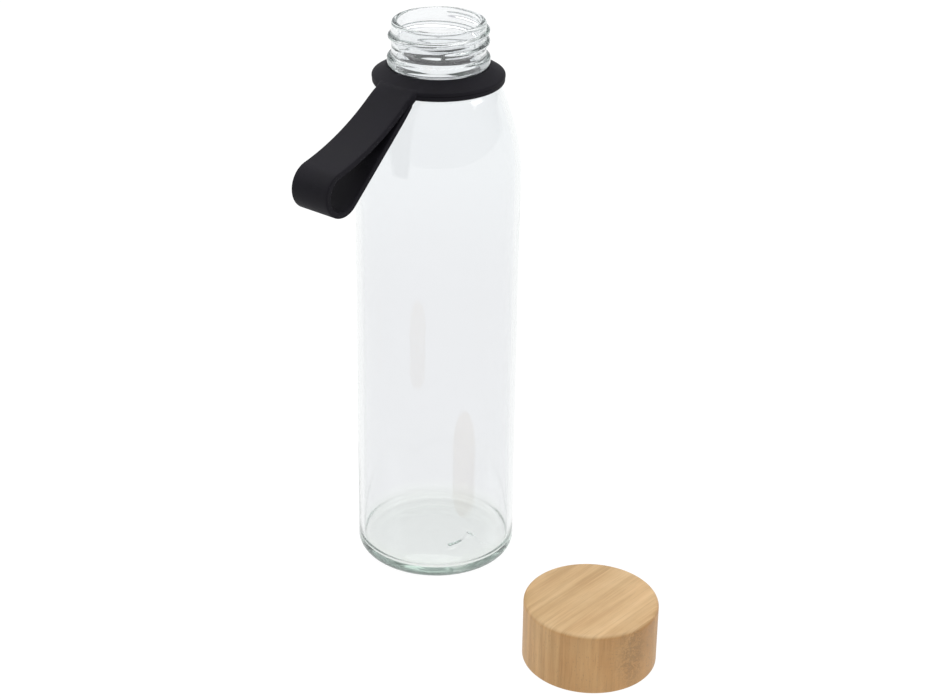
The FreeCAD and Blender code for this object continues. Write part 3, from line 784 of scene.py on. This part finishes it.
        # The edges soften towards the rings
        near_from, near_run = 23, 7
        near = 1 - smooth((outer[:, :1] - near_from) / near_run)
        edge = np.minimum(size.band_edge / MM * (1 + near), 0.45 * depth)
        inward = (inner - outer) / depth
        corner = math.sqrt((rim + fillet) ** 2 - (half + fillet) ** 2)
        within = np.clip(corner - outer[:, 0], 0, fillet * 0.92)
        side = (half + fillet - np.sqrt(fillet**2 - within**2))[:, None]
        flat = np.linspace(-1, 1, 13)[None, 1:-1]
        wide = side - edge
        turn_out = edge * (1 - np.cos(quarter))[None]
        turn_side = edge * np.sin(quarter)[None]
        upright = np.linspace(0, 1, 5)[None, 1:-1]
        high = depth - 2 * edge
        sections = [
            (flat * wide, np.zeros_like(flat) * depth),
            (wide + turn_side, turn_out + 0 * depth),
            (side + 0 * upright, edge + upright * high),
            (wide + turn_side[:, ::-1], depth - turn_out[:, ::-1]),
            (-flat * wide, depth + 0 * flat),
            (-wide - turn_side, depth - turn_out),
            (-side + 0 * upright, depth - edge - upright * high),
            (-wide - turn_side[:, ::-1], turn_out[:, ::-1] + 0 * depth),
        ]
        across = np.concatenate([aside + 0 * depth for aside, _ in sections], axis=1)
        down = np.concatenate([deep for _, deep in sections], axis=1)
        spot = outer[:, None] + inward[:, None] * down[..., None]
        # Near the rings the band's top follows their cone, so it falls off towards its sides.
        # The lower leg, up to the loop's far end, has no cone to follow.
        cone_run = 5.0
        reach_out = spot[..., 0]
        share = (1 - smooth((reach_out - near_from) / cone_run)) * (1 - down / depth)
        round_out = reach_out + share * (np.hypot(reach_out, across) - reach_out)
        order = np.argsort(top_side[:, 0])
        fall = (np.interp(round_out, top_side[order, 0], top_side[order, 1])
                - np.interp(reach_out, top_side[order, 0], top_side[order, 1]))
        fall[:peak] = 0
        return np.stack([across, -reach_out, spot[..., 1] + fall], axis=-1)


class BottleLidOperator(bpy.types.Operator):
    """Turn the bamboo lid, with its threaded liner and its seal"""

    bl_idname = "bottle.add_lid"
    bl_label = "Bamboo lid"

    def execute(self, context):
        size = context.scene.bottle_lid
        middle = (size.across / MM, size.forward / MM)
        radius, height, bore = size.radius / MM, size.height / MM, size.bore / MM
        ceiling = height - size.roof / MM
        shell = rounded([
            (0, ceiling, 0), (bore, ceiling, 0.5), (bore, 0.0, 0.5), (radius, 0.0, 0.55),
            (radius, height, size.edge / MM), (0, height, 0),
        ], step=1.5)
        bamboo = make_bamboo(tuple(size.tint), (size.across, size.forward), size.strip)
        shell_mesh = turned("lid_shell_turned", shell, 192, middle)
        add_piece("lid_shell_turned", shell_mesh, bamboo, ["lid_shell"], "lid")

        glue, liner_wall, liner_roof, liner_rim = 0.1, 1.4, 1.2, 1.5
        liner_out, liner_in = bore - glue, bore - glue - liner_wall
        liner_top, liner_ceiling = ceiling - glue, ceiling - glue - liner_roof
        liner = rounded([
            (0, liner_ceiling, 0), (liner_in, liner_ceiling, 0.4), (liner_in, liner_rim, 0.35),
            (liner_out, liner_rim, 0.35), (liner_out, liner_top, 0.5), (0, liner_top, 0),
        ], step=0.5)

        def shape(angle, across, level):
            """Stand the inner thread in from the liner's wall."""
            thread_height = 1.2
            ridge = screw_ridge(
                angle, level, start=8.4, pitch=4.0, turns=1.25, heading=math.radians(-50),
                root_half=1.2, crest_half=0.4,
            )
            on_wall = (np.abs(across - liner_in) < 0.02) & (level < liner_ceiling - 0.6)
            return across - thread_height * ridge * on_wall, level

        plastic = make_moulded(
            "liner_plastic", (0.80, 0.79, 0.75), grain=2400.0, roughness=0.32, glow=0.15
        )
        liner_mesh = turned("lid_liner_moulded", liner, 240, middle, shape=shape)
        add_piece("lid_liner_moulded", liner_mesh, plastic, ["lid_liner"], "lid")

        seal_bore, seal_rim, seal_thick = 14.5, 18.9, 1.5
        seal_low, seal_top = liner_ceiling - seal_thick, liner_ceiling
        seal = rounded([
            (seal_bore, seal_low, 0.4), (seal_rim, seal_low, 0.4), (seal_rim, seal_top, 0.15),
            (seal_bore, seal_top, 0.15),
        ], closed=True, step=0.6)
        rubber = make_moulded(
            "seal_silicone", (0.72, 0.74, 0.73), grain=1800.0, roughness=0.45, glow=0.3
        )
        seal_mesh = turned("lid_seal_moulded", seal, 192, middle, closed=True)
        add_piece("lid_seal_moulded", seal_mesh, rubber, ["lid_seal"], "lid")
        return {"FINISHED"}


class BottleStageOperator(bpy.types.Operator):
    """Set the pale floor, the soft lights and the camera"""

    bl_idname = "bottle.add_stage"
    bl_label = "Stage"

    def execute(self, context):
        size = context.scene.bottle_stage
        self.add_floor(size)
        self.add_sky(size)
        lid_side, waist = (0.02, 0.0, 0.08), (0.0, 0.0, 0.12)
        self.add_softbox("softbox_above", (-0.25, 0.35, 1.25), lid_side, width=1.1, power=8.5)
        self.add_softbox("softbox_left", (-1.15, -0.35, 0.75), waist, width=0.7, power=4.2)
        self.add_softbox("softbox_right", (1.1, 0.55, 0.8), waist, width=0.6, power=2.4)
        self.add_camera(size)
        context.scene.view_settings.view_transform = "Standard"
        # Thick glass folds the light many times before it leaves
        context.scene.cycles.max_bounces = 32
        context.scene.cycles.glossy_bounces = 24
        context.scene.cycles.transmission_bounces = 32
        return {"FINISHED"}

    @staticmethod
    def add_floor(size):
        """A wide pale floor that gives off light itself, so that shadows on it stay faint."""
        half, low = size.floor_size / 2, -0.0002
        corners = [(-half, -half, low), (half, -half, low), (half, half, low), (-half, half, low)]
        mesh = bpy.data.meshes.new("studio_floor")
        mesh.from_pydata(corners, [], [(0, 1, 2, 3)])
        shader = Shader("studio_floor")
        grain = shader.noise(shader.place(), 300.0, detail=3.0, rough=0.5)
        shader.set(
            Base_Color=shader.mix(grain, (0.06, 0.06, 0.06, 1), (0.07, 0.07, 0.07, 1)),
            Roughness=0.9, Specular_IOR_Level=0.0, Emission_Color=(1, 1, 1, 1),
            Emission_Strength=size.floor_glow,
        )
        mesh.materials.append(shader.material)
        floor = bpy.data.objects.new("studio_floor", mesh)
        bpy.context.scene.collection.objects.link(floor)

    @staticmethod
    def add_sky(size):
        """Soft surroundings, grey round the horizon and paler overhead."""
        world = bpy.data.worlds.new("studio_sky")
        world.use_nodes = True
        tree = world.node_tree
        back = tree.nodes["Background"]
        back.inputs["Strength"].default_value = size.sky
        where = tree.nodes.new("ShaderNodeTexCoord")
        split = tree.nodes.new("ShaderNodeSeparateXYZ")
        ramp = tree.nodes.new("ShaderNodeValToRGB")
        stops = ((0.0, (0.62, 0.62, 0.64)), (0.25, (0.58, 0.58, 0.61)), (1.0, (0.95, 0.95, 0.96)))
        ramp.color_ramp.elements.new(0.5)
        for element, (place, shade) in zip(ramp.color_ramp.elements, stops):
            element.position = place
            element.color = (*shade, 1)
        tree.links.new(where.outputs["Generated"], split.inputs["Vector"])
        tree.links.new(split.outputs["Z"], ramp.inputs["Fac"])
        tree.links.new(ramp.outputs["Color"], back.inputs["Color"])
        bpy.context.scene.world = world

    @staticmethod
    def add_softbox(name, place, target, width, power):
        """A square soft light that faces a target."""
        light = bpy.data.lights.new(name, "AREA")
        light.shape = "SQUARE"
        light.size = width
        light.energy = power
        lamp = bpy.data.objects.new(name, light)
        lamp.location = place
        way = Vector(target) - Vector(place)
        lamp.rotation_euler = way.to_track_quat("-Z", "Y").to_euler()
        bpy.context.scene.collection.objects.link(lamp)

    @staticmethod
    def add_camera(size):
        """A camera above and in front, looking down at the bottle."""
        data = bpy.data.cameras.new("studio_camera")
        data.lens = size.lens
        data.sensor_width = 36.0
        data.shift_x, data.shift_y = 0.0452, -0.0532
        camera = bpy.data.objects.new("studio_camera", data)
        place = (0.4471, -0.5359, 0.4339)
        heading, pitch, roll = math.radians(40), 0.438, 0.0050
        ahead = Vector((-math.sin(heading) * math.cos(pitch),
                        math.cos(heading) * math.cos(pitch), -math.sin(pitch)))
        turn = ahead.to_track_quat("-Z", "Y").to_matrix() @ Matrix.Rotation(roll, 3, "Z")
        camera.matrix_world = Matrix.Translation(place) @ turn.to_4x4()
        bpy.context.scene.collection.objects.link(camera)
        bpy.context.scene.camera = camera


class BottlePanel(bpy.types.Panel):
    """The bottle's builders and their sizes"""

    bl_idname = "VIEW3D_PT_bottle"
    bl_label = "Bottle"
    bl_space_type = "VIEW_3D"
    bl_region_type = "UI"
    bl_category = "Bottle"

    def draw(self, context):
        for operator, group in zip(OPERATORS, GROUPS):
            column = self.layout.column(align=True)
            column.operator(operator.bl_idname)
            settings = getattr(context.scene, group)
            for key in settings.__annotations__:
                column.prop(settings, key)


OPERATORS = (BottleGlassOperator, BottleStrapOperator, BottleLidOperator, BottleStageOperator)


def register():
    for group in GROUPS.values():
        bpy.utils.register_class(group)
    for name, group in GROUPS.items():
        setattr(bpy.types.Scene, name, PointerProperty(type=group))
    for operator in OPERATORS:
        bpy.utils.register_class(operator)
    bpy.utils.register_class(BottlePanel)


def unregister():
    bpy.utils.unregister_class(BottlePanel)
    for operator in reversed(OPERATORS):
        bpy.utils.unregister_class(operator)
    for name, group in reversed(GROUPS.items()):
        delattr(bpy.types.Scene, name)
        bpy.utils.unregister_class(group)


def main():
    """Build everything in order."""
    register()
    bpy.ops.bottle.add_stage()
    bpy.ops.bottle.add_glass()
    bpy.ops.bottle.add_strap()
    bpy.ops.bottle.add_lid()


if __name__ == "__main__":
    main()
